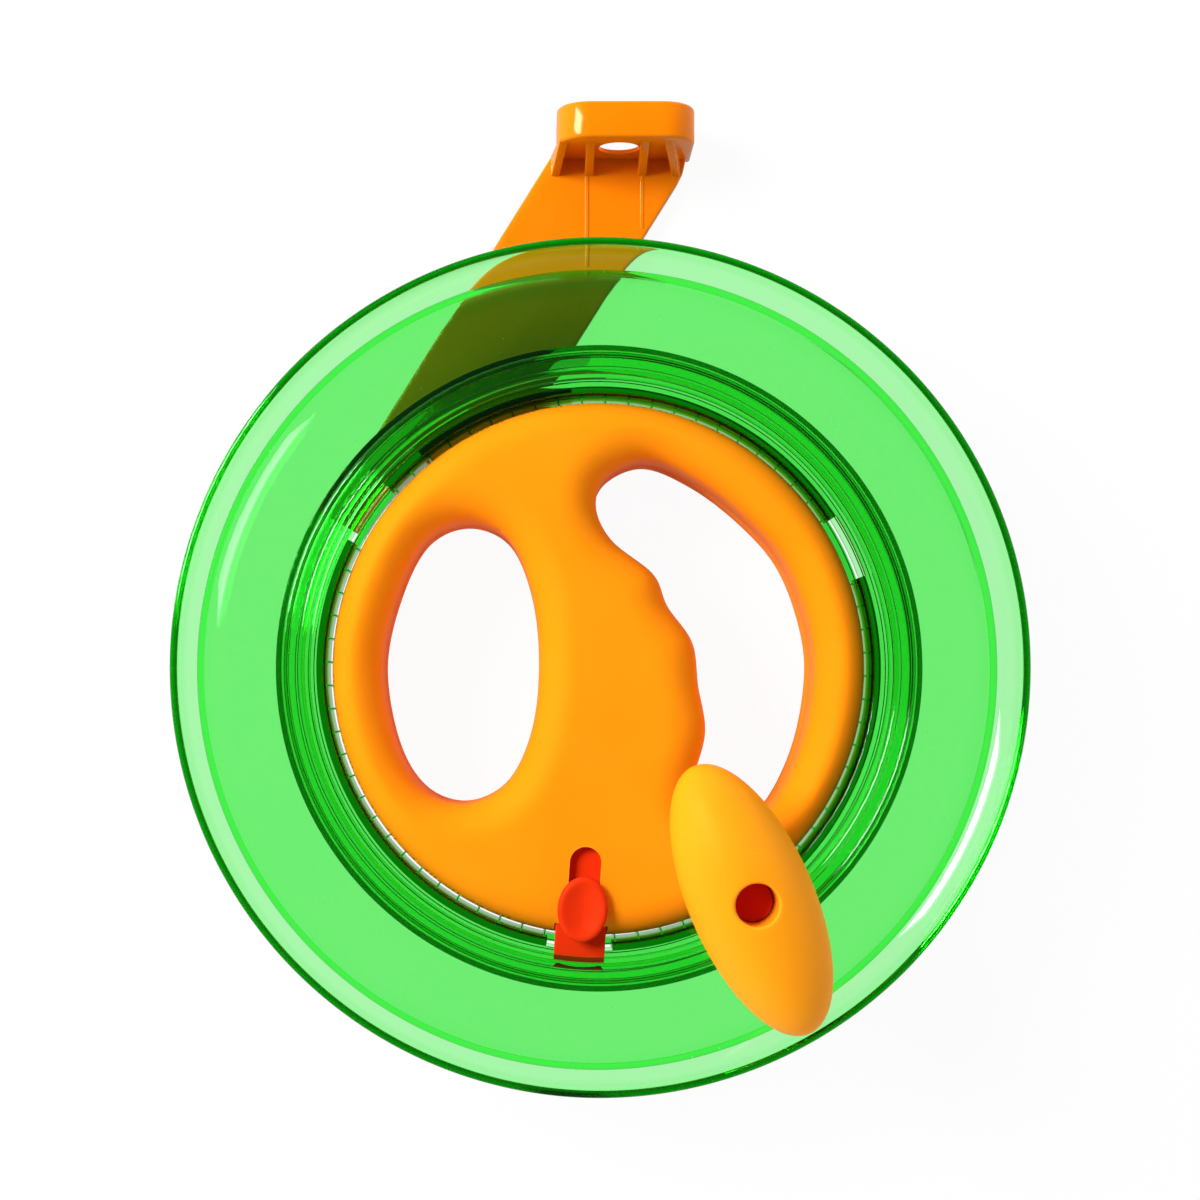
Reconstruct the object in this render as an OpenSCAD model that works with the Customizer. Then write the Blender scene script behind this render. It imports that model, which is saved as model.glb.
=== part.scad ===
// Handline reel: a grip wheel in the middle, a clear spool that turns round it on thin ribs,
// a crank knob, a sliding lock and a line-guide arm.
// The reel lies on its back. +Z points to its front, +Y to the guide arm, and the origin is
// on the spool's axis, on the plane that the reel rests on. Sizes are in millimetres.

/* [Spool] */
// Diameter over the flared rims
rim_d = 220; // [212:1:230]
// Width of the spool from rim to rim
spool_w = 40; // [38:0.5:44]
// Width of the winding gap between the flanges
gap_w = 20; // [17:0.5:22]
// Diameter of the drum that the line winds on
drum_d = 168; // [166:0.5:174]
// Wall of the flanges, the drum and the collar
wall = 2; // [1.6:0.1:2.4]
// Distance of the outer ridge from the drum's surface
ridge_outer_in = 2.6; // [1.4:0.2:3]
// Distance of the inner ridge from the flange's inner edge
ridge_inner_in = 2.3; // [1.6:0.1:2.6]
// Half width of the two ridges
ridge_h = 1; // [0.6:0.1:1.3]

/* [Grip wheel] */
// Diameter of the grip wheel over its lips
grip_d = 139.8; // [137:0.2:141]
// Width of the ring that is left outside the hand holes
ring_w = 13; // [12:0.5:16]
// Rounding of the hand holes at the front
hole_round = 10; // [7:0.5:11]
// Rounding of the hand holes and the rim at the rear
rear_round = 8; // [6:0.5:9]
// Rounding of the wheel's front rim
rim_round = 8.4; // [7:0.2:9]
// Wall of the hollow shells
grip_wall = 2.5; // [2:0.1:3]
// Wall that is left round the hand holes
hole_wall = 5; // [4:0.25:6]

/* [Bearing] */
// Depth of the groove that the spool's ribs run in
lip_h = 2.4; // [1.8:0.1:3]
// Open ring that shows between the wheel and the collar
sight_gap = 2.1; // [1.6:0.1:2.4]
// Number of ribs inside the collar, before the windows are cut
rib_n = 72; // [60:12:72]
// Width of one rib
rib_w = 0.6; // [0.4:0.1:1]
// Length of the ribs along the axis
rib_len = 12; // [9:0.5:13]
// Length of collar behind the ribs
collar_tail = 5; // [3:0.5:6]
// Angle that each of the three collar windows takes up
window_angle = 13.5; // [11:0.5:15]

/* [Lock] */
// Direction of the lock, seen from the front
lock_angle = 266; // [256:1:276]
// Width of the sliding tongue
tongue_w = 13.2; // [11:0.2:15]
// Thickness of the sliding tongue
tongue_t = 2.2; // [1.8:0.1:2.6]
// Reach of the tongue under the front flange
tongue_reach = 2.6; // [1.5:0.1:4]
// Travel of the lock from locked to free
lock_travel = 12; // [11.5:0.1:13]
// Distance of the button's middle from the axis when locked
button_r = 62.5; // [61:0.5:63]
// Length of the oval button
button_l = 16.8; // [14:0.2:18]
// Width of the oval button
button_w = 13; // [11:0.2:14.5]
// Height of the button above the wheel
button_t = 2.7; // [2.2:0.1:3.4]
// Width of the slot that the button slides in
slot_w = 8.2; // [6:0.2:9]
// Wall of the wheel over the sliding tongue
lock_roof = 2.2; // [1.8:0.1:3]
// Width of the tooth that drops between two ribs
tooth_w = 3.6; // [2.4:0.1:3.8]
// Depth to which the tooth stands between the ribs
tooth_bite = 3; // [2:0.5:5]
// Thickness of the plate that holds the tongue in its channel
cover_t = 1.5; // [1.2:0.1:2]
// Width of the plate that holds the tongue in its channel
cover_w = 24; // [23:0.5:26]

/* [Knob] */
// Length of the crank knob
knob_l = 72; // [60:1:76]
// Thickness of the crank knob
knob_d = 31; // [26:0.5:34]
// Distance of the knob's axle from the spool's axis
knob_r = 68.5; // [66:0.5:72]
// Direction of the knob's axle, seen from the front
knob_angle = -57.5; // [-70:0.5:-45]
// Direction in which the knob's long axis lies
knob_turn = -66.6; // [-90:0.1:0]
// Diameter of the recess in the middle of the knob
recess_d = 10.5; // [9:0.1:12]
// Depth of the recess in the middle of the knob
recess_depth = 12; // [8:0.5:15]
// Diameter of the axle that the knob turns on
axle_d = 7; // [6:0.1:8]
// Thickness of the axle's head
axle_head_t = 2; // [1.5:0.1:3]
// Thickness of the ear that carries the axle
ear_t = 4.7; // [4.2:0.1:6]
// Radius of the ear round the axle
ear_r = 6.5; // [6:0.1:8]

/* [Guide arm] */
// Width of the arm
arm_w = 33.4; // [30:0.2:36]
// Thickness of the arm
arm_t = 4; // [3:0.25:5]
// Lean of the arm to the right
arm_lean = 32; // [28:1:34]
// Height of the tray's underside above the spool's axis
tray_y = 141; // [134:1:150]
// Middle of the tray, to the right of the spool's axis
tray_x = 7.7; // [4:0.1:10]
// Width of the tray
tray_w = 37; // [34:0.5:42]
// Height of the tray's walls
tray_h = 9.7; // [7:0.1:12]
// Reach of the tray over the spool, from the rest plane
tray_reach = 26; // [24:0.5:32]
// Wall and floor of the tray
tray_wall = 2.5; // [2:0.1:3]
// Radius of the tray's front corners
tray_corner = 9; // [5:0.5:9]
// Diameter of the line eye
eye_d = 11; // [8:0.5:12]
// Height of the line eye above the rest plane
eye_z = 15; // [13:0.5:16]
// Thickness of the two gussets under the tray
gusset_t = 2.3; // [1.6:0.1:3]
// Distance between the two gussets
gusset_gap = 14.8; // [12:0.2:18]

/* [Screws] */
// Shank diameter of the screws
screw_d = 2.9; // [2.2:0.1:3.2]
// Head diameter of the screws
head_d = 5.6; // [4.8:0.1:6]
// Head height of the screws
head_h = 1.9; // [1.5:0.1:2.2]
// Length of the screws that join the two halves of the wheel
grip_screw_l = 23; // [20:0.5:26]
// Length of the screws that hold the arm, the cover and the knob
short_screw_l = 8; // [7:0.5:9]

/* [Hidden] */
$fn = 96;

// Clearances: a running fit, sliding faces, a fixed fit, and parts that pass over one another
run_gap = 0.08;
slide_gap = 0.3;
fit_gap = 0.02;
pass_gap = 0.5;
// How far a cut runs past the face that it opens
past = 1;

// Spool radii and levels
rim_r = rim_d / 2;
drum_r = drum_d / 2;
grip_r = grip_d / 2;
rear_clear = 2;
spool_z = arm_t + rear_clear + spool_w / 2;
front_z = spool_z + gap_w / 2;
rim_top = spool_z + spool_w / 2;
flare_r = (spool_w - gap_w - wall) / 2;
collar_in = grip_r + sight_gap;
collar_out = collar_in + wall;
flange_step = 1;
flange_in = collar_out + flange_step;
ridge_inner_r = flange_in + ridge_inner_in;
ridge_outer_r = drum_r - ridge_outer_in;

// Levels of the lock and the wheel, from the front flange inwards
tongue_top = front_z - pass_gap;
tongue_z = tongue_top - tongue_t;
roof_z = tongue_z - slide_gap;
channel_top = tongue_top + slide_gap;
grip_t = channel_top + lock_roof;
lip_flat = 0.2;
front_lip_z = grip_t - rim_round - lip_flat;
rib_z = front_lip_z - slide_gap - rib_len;
part_z = rib_z - slide_gap;
journal_r = grip_r - lip_h;
hollow_r = journal_r - grip_wall;
floor_z = arm_t + grip_wall;

// Places along the lock's slide, measured outwards from the axis
tongue_tip = flange_in + tongue_reach;
neck_r = slot_w / 2 - slide_gap;
slide_tail = 6;
slide_in = button_r - lock_travel - slot_w / 2 - slide_tail;
channel_in = slide_in - lock_travel - slide_gap;
slot_in = button_r - lock_travel - neck_r - slide_gap;
slot_out = button_r + neck_r + slide_gap;
tooth_clear = 0.8;
tooth_out = collar_in - tooth_clear;
tooth_l = 2.6;
tooth_z = rib_z + rib_len - tooth_bite;
cover_set_back = 4;
cover_in = channel_in + cover_set_back;
cover_out = tooth_out - tooth_l - lock_travel - pass_gap;
cover_screw_r = (cover_in + cover_out) / 2;
cover_screw_x = (tongue_w / 2 + cover_w / 2) / 2;
// How far the cover's screws reach into the wheel's front wall, and the wall left above them
cover_skin = 1.5;
cover_bite = grip_t - roof_z - cover_skin;

// Levels of the knob and its ear
button_z = grip_t + slide_gap;
ear_z = button_z + button_t + pass_gap;
ear_top = ear_z + ear_t;
ear_step = 1;
knob_z = max(ear_top, rim_top) + pass_gap + knob_d / 2;
axle_x = knob_r * cos(knob_angle);
axle_y = knob_r * sin(knob_angle);
head_top = knob_z + knob_d / 2 - recess_depth;
axle_head_z = head_top - axle_head_t;
// Depth of a screw head's underside below the face that it is sunk into
head_sink = head_h + pass_gap;

// Guide arm: the foot's sectors are given as angles seen from the front
foot_depth = 9.4;
foot_in = grip_r - foot_depth;
foot_a = [95, 129];
pocket_a = [94, 130];
heel_end = 150;
arc_step = 1;
heel_in = flange_in;
arm_screw_in = 5.5;
arm_screw_r = grip_r - arm_screw_in;
arm_screw_a = [99.5, 112, 124.5];
arm_offset = -0.7;
gusset_x = tray_x - 2.7;
gusset_down = 5;
// Distance of the outer gussets from the tray's two sides
gusset_edge = [0.4, 2.6];
eye_x = gusset_x + 1;

// Screws of the wheel: five on the ring and two on the bar between the hand holes
ring_screw_in = 6.7;
ring_screw_r = grip_r - ring_screw_in;
ring_screw_a = [62, 172, 226, 300, 352];
boss_wall = 2;
boss_r = screw_d / 2 + boss_wall;

// Outlines of the two hand holes at their narrowest, on a wheel whose holes reach out 56.9
drawn_reach = 56.9;
hole_scale = (grip_r - ring_w) / drawn_reach;
palm_hole = hole_scale * [[-15.6, 2], [-17.5, 20], [-23.5, 34], [-34.4, 38.8], [-45.5, 34], [-53, 19.5],
    [-56.9, 0.7], [-53.5, -19.5], [-46, -31.7], [-34.9, -35.5], [-24, -30], [-17.5, -16]];
finger_hole = hole_scale * [[56.9, -1], [55, 13.5], [49, 28.5], [38.8, 40.1], [26, 49.8], [12.9, 55.1],
    [2.5, 51], [-0.6, 43], [3.5, 34], [14.5, 25], [18.3, 16.5], [24.8, 7], [26.4, -4.5], [28.2, -17],
    [24.6, -32], [27.5, -41], [36.5, -44.5], [46.5, -35.2], [53.8, -19.5]];
bar_screws = hole_scale * [[-8, 32], [6, -12]];
grip_screw_points = concat([for (a = ring_screw_a) ring_screw_r * [cos(a), sin(a)]], bar_screws);
arm_screw_points = [for (a = arm_screw_a) arm_screw_r * [cos(a), sin(a)]];
palm_steps = 6;
finger_steps = 4;
round_steps = 5;

orange = [1, 0.55, 0.06];
red = [0.92, 0.16, 0.04];
green = [0.35, 0.95, 0.4, 0.55];
steel = [0.72, 0.73, 0.75];

// The angles that a collar window spans about its middle, and whether a rib's angle is in one
function window_span(a) = [a - window_angle / 2, a + window_angle / 2];

function in_window(a) = abs((a + 60) % 120 - 60) < window_angle / 2;

// A point a share t of the way from p[i] to the next point, on a smooth closed curve through all
function curve_point(p, i, t) =
    let (
        n = len(p),
        a = p[(i + n - 1) % n],
        b = p[i],
        c = p[(i + 1) % n],
        d = p[(i + 2) % n]
    )
    (2 * b + (c - a) * t + (2 * a - 5 * b + 4 * c - d) * t ^ 2 + (3 * b - a - 3 * c + d) * t ^ 3) / 2;

function smooth_loop(p, steps) =
    [for (i = [0 : len(p) - 1]) for (k = [0 : steps - 1]) curve_point(p, i, k / steps)];

// The outward direction of a loop at point i, and the loop grown by e
function outward(p, i) =
    let (n = len(p), d = p[(i + 1) % n] - p[(i + n - 1) % n])
    [d.y, -d.x] / norm(d);

function grown(p, e) = [for (i = [0 : len(p) - 1]) p[i] + e * outward(p, i)];

// The arm's outline: a leaning strip from the tray down to a ring, and a foot inside that ring
arm_dir = [sin(arm_lean), cos(arm_lean)];

function arm_edge(side) =
    [tray_x + arm_offset, tray_y] + side * arm_w / 2 * [arm_dir.y, -arm_dir.x];

function cross_of(a, b) = a.x * b.y - a.y * b.x;

// Where an edge of the strip reaches a height, a ray from the axis, or a circle round the axis
function edge_at_height(p, y) = p + (y - p.y) / arm_dir.y * arm_dir;

function edge_at_ray(p, a) =
    let (w = [cos(a), sin(a)])
    p - cross_of(p, w) / cross_of(arm_dir, w) * arm_dir;

function edge_at_circle(p, r) =
    let (m = p * arm_dir)
    p + (sqrt(m ^ 2 - p * p + r ^ 2) - m) * arm_dir;

function arc(r, a0, a1) =
    let (n = ceil(abs(a1 - a0) / arc_step))
    [for (k = [0 : n]) let (a = a0 + (a1 - a0) * k / n) r * [cos(a), sin(a)]];

right_toe = edge_at_circle(arm_edge(1), heel_in);
arm_outline = concat(
    [edge_at_height(arm_edge(1), tray_y + tray_wall / 2)],
    [edge_at_height(arm_edge(-1), tray_y + tray_wall / 2)],
    [edge_at_ray(arm_edge(-1), heel_end)],
    arc(heel_in, heel_end, foot_a[1]),
    arc(foot_in, foot_a[1], foot_a[0]),
    arc(heel_in, foot_a[0], atan2(right_toe.y, right_toe.x))
);

// Levels and growth of a hand hole, from below the rear face to above the front face
hole_levels = concat(
    [[-past, rear_round]],
    [for (k = [round_steps : -1 : 0])
        let (a = 90 * k / round_steps)
        [rear_round * (1 - sin(a)), rear_round * (1 - cos(a))]],
    [for (k = [0 : round_steps])
        let (a = 90 * k / round_steps)
        [grip_t - hole_round * (1 - sin(a)), hole_round * (1 - cos(a))]],
    [[grip_t + past, hole_round]]
);

// A hand hole with its rounded edges, as the solid that is cut away
module hand_hole(loop, steps) {
    n = len(loop) * steps;
    top = len(hole_levels) - 1;
    points = [for (level = hole_levels)
        for (p = smooth_loop(grown(loop, level[1]), steps)) [p.x, p.y, level[0]]];
    sides = [for (j = [0 : top - 1]) for (i = [0 : n - 1])
        let (k = (i + 1) % n)
        for (f = [[j * n + i, j * n + n + i, j * n + n + k], [j * n + i, j * n + n + k, j * n + k]]) f];
    floor_face = [[for (i = [0 : n - 1]) i]];
    top_face = [[for (i = [0 : n - 1]) top * n + n - 1 - i]];
    polyhedron(points, concat(floor_face, sides, top_face));
}

module hand_holes() {
    hand_hole(palm_hole, palm_steps);
    hand_hole(finger_hole, finger_steps);
}

// The hollow inside the wheel between two levels, with walls round the holes and bosses left in
module hollow(z0, z1, bosses) {
    translate([0, 0, z0])
        difference() {
            cylinder(r = hollow_r, h = z1 - z0);
            translate([0, 0, -past])
                linear_extrude(z1 - z0 + 2 * past)
                    polygon(smooth_loop(grown(palm_hole, hole_wall), palm_steps));
            translate([0, 0, -past])
                linear_extrude(z1 - z0 + 2 * past)
                    polygon(smooth_loop(grown(finger_hole, hole_wall), finger_steps));
            for (p = bosses)
                translate([p.x, p.y, -past])
                    cylinder(r = boss_r, h = z1 - z0 + 2 * past);
        }
}

// Everything in the lock is drawn with +X running outwards along the slide
module along_lock() {
    rotate(lock_angle)
        children();
}

module round_bar(l, w, h) {
    straight = l - w;
    translate([-straight / 2, -w / 2, 0])
        cube([straight, w, h]);
    for (s = [-1, 1])
        translate([s * straight / 2, 0, 0])
            cylinder(d = w, h = h);
}

// A sector of a flat ring, standing on z = 0
module sector(r0, r1, angles, h) {
    reach = 2 * r1;
    intersection() {
        difference() {
            cylinder(r = r1, h = h);
            translate([0, 0, -past])
                cylinder(r = r0, h = h + 2 * past);
        }
        linear_extrude(h)
            polygon([[0, 0], reach * [cos(angles[0]), sin(angles[0])],
                reach * [cos(angles[1]), sin(angles[1])]]);
    }
}

// A cross-head screw that points up, with the underside of its head at z = 0
module screw(l) {
    cross_l = head_d * 0.6;
    cross_w = head_d * 0.16;
    cross_h = head_h * 0.6;
    difference() {
        translate([0, 0, -head_h])
            cylinder(d = head_d, h = head_h);
        for (a = [0, 90])
            rotate(a)
                translate([-cross_l / 2, -cross_w / 2, -head_h - past])
                    cube([cross_l, cross_w, cross_h + past]);
    }
    cylinder(d = screw_d, h = l);
}

// The hole for a screw from below: head recess down to z0, then a hole of diameter d
module screw_hole(z0, head_z, l, d) {
    translate([0, 0, z0 - past])
        cylinder(d = head_d + 2 * slide_gap, h = head_z - z0 + past);
    translate([0, 0, head_z])
        cylinder(d = d, h = l);
}

module at_points(points) {
    for (p = points)
        translate([p.x, p.y, 0])
            children();
}

module lock_channel() {
    along_lock() {
        translate([channel_in, -tongue_w / 2 - slide_gap, roof_z - past])
            cube([grip_r + past - channel_in, tongue_w + 2 * slide_gap, channel_top - roof_z + past]);
        translate([(slot_in + slot_out) / 2, 0, channel_top - past])
            round_bar(slot_out - slot_in, slot_w, lock_roof + 2 * past);
        translate([cover_out, -tooth_w / 2 - slide_gap, tooth_z - slide_gap])
            cube([grip_r + past - cover_out, tooth_w + 2 * slide_gap, roof_z - tooth_z + slide_gap]);
        for (s = [-1, 1])
            translate([cover_screw_r, s * cover_screw_x, roof_z - past])
                cylinder(d = screw_d + 2 * fit_gap, h = past + cover_bite);
    }
}

module grip_front() {
    color(orange)
        difference() {
            rotate_extrude() {
                translate([0, part_z])
                    square([journal_r, front_lip_z - part_z]);
                translate([0, front_lip_z])
                    square([grip_r, lip_flat]);
                translate([0, front_lip_z])
                    square([grip_r - rim_round, grip_t - front_lip_z]);
                translate([grip_r - rim_round, front_lip_z + lip_flat])
                    intersection() {
                        circle(rim_round);
                        square(rim_round);
                    }
            }
            hand_holes();
            hollow(part_z - past, roof_z, grip_screw_points);
            lock_channel();
            at_points(grip_screw_points)
                cylinder(d = screw_d + 2 * fit_gap, h = head_sink + grip_screw_l + past);
        }
}

module grip_rear() {
    color(orange)
        difference() {
            rotate_extrude() {
                square([grip_r - rear_round, part_z]);
                translate([0, rear_round])
                    square([grip_r, part_z - rear_round]);
                translate([grip_r - rear_round, rear_round])
                    intersection() {
                        circle(rear_round);
                        translate([0, -rear_round])
                            square(rear_round);
                    }
            }
            hollow(floor_z, part_z + past, concat(grip_screw_points, arm_screw_points));
            hand_holes();
            translate([0, 0, -past])
                sector(foot_in - slide_gap, grip_r + past, pocket_a, arm_t + past);
            at_points(grip_screw_points)
                screw_hole(0, head_sink, part_z, screw_d + slide_gap);
            at_points(arm_screw_points)
                screw_hole(0, head_sink, short_screw_l + past, screw_d + 2 * fit_gap);
        }
}

module grip_screws() {
    color(steel)
        at_points(grip_screw_points)
            translate([0, 0, head_sink])
                screw(grip_screw_l);
}

// The tray seen along the line: two walls and a front with round corners, from the level back
module tray_outline(inset, back) {
    w = tray_w - 2 * inset;
    d = tray_reach - inset;
    r = tray_corner - inset;
    translate([-w / 2, back])
        square([w, d - r - back]);
    translate([r - w / 2, back])
        square([w - 2 * r, d - back]);
    for (s = [-1, 1])
        translate([s * (w / 2 - r), d - r])
            circle(r);
}

module tray() {
    gusset_top = tray_reach - tray_corner / 2;
    gussets = [tray_x - tray_w / 2 + gusset_t / 2 + gusset_edge[0], gusset_x - gusset_gap / 2,
        gusset_x + gusset_gap / 2, tray_x + tray_w / 2 - gusset_t / 2 - gusset_edge[1]];
    difference() {
        translate([tray_x, tray_y + tray_h, 0])
            rotate([90, 0, 0])
                linear_extrude(tray_h)
                    tray_outline(0, 0);
        translate([tray_x, tray_y + tray_h + past, 0])
            rotate([90, 0, 0])
                linear_extrude(tray_h - tray_wall + past)
                    tray_outline(tray_wall, -past);
    }
    for (x = gussets)
        translate([x + gusset_t / 2, 0, 0])
            rotate([90, 0, -90])
                linear_extrude(gusset_t)
                    polygon([[-tray_y - past, arm_t - past], [gusset_down - tray_y, arm_t - past],
                        [-tray_y, gusset_top], [-tray_y - past, gusset_top]]);
}

module guide_arm() {
    color(orange)
        difference() {
            union() {
                linear_extrude(arm_t)
                    polygon(arm_outline);
                tray();
            }
            translate([eye_x, tray_y - past, eye_z])
                rotate([-90, 0, 0])
                    cylinder(d = eye_d, h = tray_wall + 2 * past);
            at_points(arm_screw_points)
                screw_hole(0, head_sink, arm_t, screw_d + slide_gap);
        }
}

module arm_screws() {
    color(steel)
        at_points(arm_screw_points)
            translate([0, 0, head_sink])
                screw(short_screw_l);
}

module lock_slide() {
    color(red)
        along_lock() {
            translate([slide_in, -tongue_w / 2, tongue_z])
                cube([tongue_tip - slide_in, tongue_w, tongue_t]);
            translate([tooth_out - tooth_l, -tooth_w / 2, tooth_z])
                cube([tooth_l, tooth_w, tongue_z - tooth_z + tongue_t / 2]);
        }
}

module lock_button() {
    dish_r = 22;
    dish_depth = 1;
    color(red)
        along_lock()
            translate([button_r, 0, 0]) {
                translate([0, 0, tongue_top])
                    cylinder(r = neck_r, h = button_z - tongue_top + button_t / 3);
                difference() {
                    translate([0, 0, button_z])
                        round_bar(button_l, button_w, button_t);
                    translate([0, 0, button_z + button_t - dish_depth + dish_r])
                        sphere(dish_r);
                }
            }
}

module lock_cover() {
    color(orange)
        along_lock()
            difference() {
                translate([cover_in, -cover_w / 2, roof_z - cover_t])
                    cube([cover_out - cover_in, cover_w, cover_t]);
                for (s = [-1, 1])
                    translate([cover_screw_r, s * cover_screw_x, roof_z - cover_t - past])
                        cylinder(d = screw_d + slide_gap, h = cover_t + 2 * past);
            }
}

module cover_screws() {
    color(steel)
        along_lock()
            for (s = [-1, 1])
                translate([cover_screw_r, s * cover_screw_x, roof_z - cover_t])
                    screw(cover_t + cover_bite - fit_gap);
}

module hub() {
    color(green)
        difference() {
            union() {
                rotate_extrude() {
                    translate([drum_r - wall, spool_z - gap_w / 2])
                        square([wall, gap_w]);
                    translate([collar_in, roof_z - wall])
                        square([drum_r - wall / 2 - collar_in, wall]);
                    translate([collar_in, rib_z - collar_tail])
                        square([wall, roof_z - rib_z + collar_tail]);
                }
                for (k = [0 : rib_n - 1])
                    if (!in_window(360 * (k + 0.5) / rib_n))
                        rotate(lock_angle + 360 * (k + 0.5) / rib_n)
                            translate([journal_r + run_gap - past, -rib_w / 2, rib_z])
                                cube([collar_in + wall / 2 - journal_r - run_gap + past, rib_w, rib_len]);
            }
            translate([0, 0, rib_z - past])
                cylinder(r = journal_r + run_gap, h = rib_len + 2 * past);
            for (k = [0 : 2])
                translate([0, 0, rib_z])
                    sector(collar_in - past, collar_out, window_span(lock_angle + 120 * k), roof_z);
        }
}

// A flange in its own frame: winding face at z = 0, rim flared up to the top
module flange_body() {
    rotate_extrude() {
        translate([flange_in, 0])
            square([rim_r - flare_r - flange_in, wall]);
        translate([rim_r - flare_r, flare_r])
            intersection() {
                difference() {
                    circle(flare_r);
                    circle(flare_r - wall);
                }
                translate([0, -flare_r])
                    square(flare_r);
            }
        translate([rim_r - wall / 2, flare_r])
            circle(wall / 2);
        for (r = [ridge_inner_r, ridge_outer_r])
            translate([r, wall])
                circle(ridge_h);
    }
}

// The ear's plate stands on a post, which is a step narrower on each side and sinks into both
module ear() {
    tab_w = 2 * (ear_r - ear_step);
    post_w = tab_w - 2 * ear_step;
    post_in = ridge_inner_r + ridge_h + slide_gap;
    post_h = ear_z + ear_t / 2 - front_z - wall / 2;
    translate([0, 0, ear_z])
        linear_extrude(ear_t) {
            translate([axle_x, axle_y])
                circle(ear_r);
            rotate(knob_angle)
                translate([knob_r, -tab_w / 2])
                    square([drum_r - knob_r, tab_w]);
        }
    rotate(knob_angle)
        translate([post_in, -post_w / 2, front_z + wall / 2])
            cube([drum_r - ear_step - post_in, post_w, post_h]);
}

module front_flange() {
    color(green)
        difference() {
            union() {
                translate([0, 0, front_z])
                    flange_body();
                ear();
            }
            translate([axle_x, axle_y, ear_z])
                screw_hole(0, head_sink, ear_t, screw_d + slide_gap);
        }
}

module rear_flange() {
    color(green)
        translate([0, 0, spool_z - gap_w / 2])
            mirror([0, 0, 1])
                flange_body();
}

module knob_axle() {
    color(red)
        translate([axle_x, axle_y, 0])
            difference() {
                union() {
                    translate([0, 0, ear_top])
                        cylinder(d = axle_d, h = axle_head_z - ear_top + axle_head_t / 2);
                    translate([0, 0, axle_head_z])
                        cylinder(d = recess_d - 2 * slide_gap, h = axle_head_t);
                }
                translate([0, 0, ear_top - past])
                    cylinder(d = screw_d + 2 * fit_gap, h = short_screw_l + past);
            }
}

module knob_screw() {
    color(steel)
        translate([axle_x, axle_y, ear_z + head_sink])
            screw(short_screw_l);
}

module knob() {
    profile_step = 7.5;
    profile = [for (a = [-90 : profile_step : 90]) [knob_d / 2 * cos(a), knob_l / 2 * sin(a)]];
    color(orange)
        translate([axle_x, axle_y, 0])
            difference() {
                translate([0, 0, knob_z])
                    rotate(knob_turn)
                        rotate([0, 90, 0])
                            rotate_extrude()
                                polygon(profile);
                translate([0, 0, knob_z - knob_d])
                    cylinder(d = axle_d + 2 * run_gap, h = 2 * knob_d);
                translate([0, 0, axle_head_z - slide_gap])
                    cylinder(d = recess_d, h = knob_d);
            }
}

grip_front();
grip_rear();
grip_screws();
guide_arm();
arm_screws();
lock_slide();
lock_button();
lock_cover();
cover_screws();
hub();
front_flange();
rear_flange();
knob_axle();
knob_screw();
knob();
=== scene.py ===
import math

import bmesh
import bpy
import numpy as np
from mathutils import Matrix, Vector
from mathutils.geometry import delaunay_2d_cdt


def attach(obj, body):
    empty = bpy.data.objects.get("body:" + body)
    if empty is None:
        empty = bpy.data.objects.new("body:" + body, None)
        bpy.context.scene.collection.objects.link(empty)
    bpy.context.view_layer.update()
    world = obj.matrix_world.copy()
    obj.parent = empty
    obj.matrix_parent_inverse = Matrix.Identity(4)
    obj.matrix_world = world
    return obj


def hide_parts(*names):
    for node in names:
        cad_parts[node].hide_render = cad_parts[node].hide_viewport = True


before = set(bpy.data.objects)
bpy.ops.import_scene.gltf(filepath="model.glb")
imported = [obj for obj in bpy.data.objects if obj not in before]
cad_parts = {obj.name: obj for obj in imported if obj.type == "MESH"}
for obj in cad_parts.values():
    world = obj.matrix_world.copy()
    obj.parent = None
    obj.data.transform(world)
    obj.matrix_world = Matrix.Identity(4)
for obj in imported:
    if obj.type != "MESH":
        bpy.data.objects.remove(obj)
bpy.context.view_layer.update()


# Grip wheel
# Two halves moulded in dyed orange plastic, screwed together from behind, that close round the spool's
# ribs. Two hand holes go right through, every edge that a hand meets is rounded off, and the mould
# leaves a fine satin grain on the skin.
def add_node(tree, kind, inputs=None, **settings):
    """A node of the given kind. An input that is a socket is linked, and any other value is set."""
    made = tree.nodes.new(kind)
    for key, value in settings.items():
        setattr(made, key, value)
    for key, value in (inputs or {}).items():
        if isinstance(value, bpy.types.NodeSocket):
            tree.links.new(value, made.inputs[key])
        else:
            made.inputs[key].default_value = value
    return made


def math_node(tree, operation, *values, clamp=False):
    made = add_node(tree, "ShaderNodeMath", dict(enumerate(values)), operation=operation, use_clamp=clamp)
    return made.outputs[0]


def mix_colours(tree, share, first, second):
    inputs = {"Factor": share, "A": first, "B": second}
    return add_node(tree, "ShaderNodeMix", inputs, data_type="RGBA").outputs["Result"]


def effect_group(name, inputs, outputs):
    """An empty node group with named number sockets, and its input and output nodes."""
    group = bpy.data.node_groups.new(name, "ShaderNodeTree")
    for title, default in inputs.items():
        socket = group.interface.new_socket(title, in_out="INPUT", socket_type="NodeSocketFloat")
        socket.default_value = default
    for title in outputs:
        group.interface.new_socket(title, in_out="OUTPUT", socket_type="NodeSocketFloat")
    return group, add_node(group, "NodeGroupInput"), add_node(group, "NodeGroupOutput")


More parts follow.
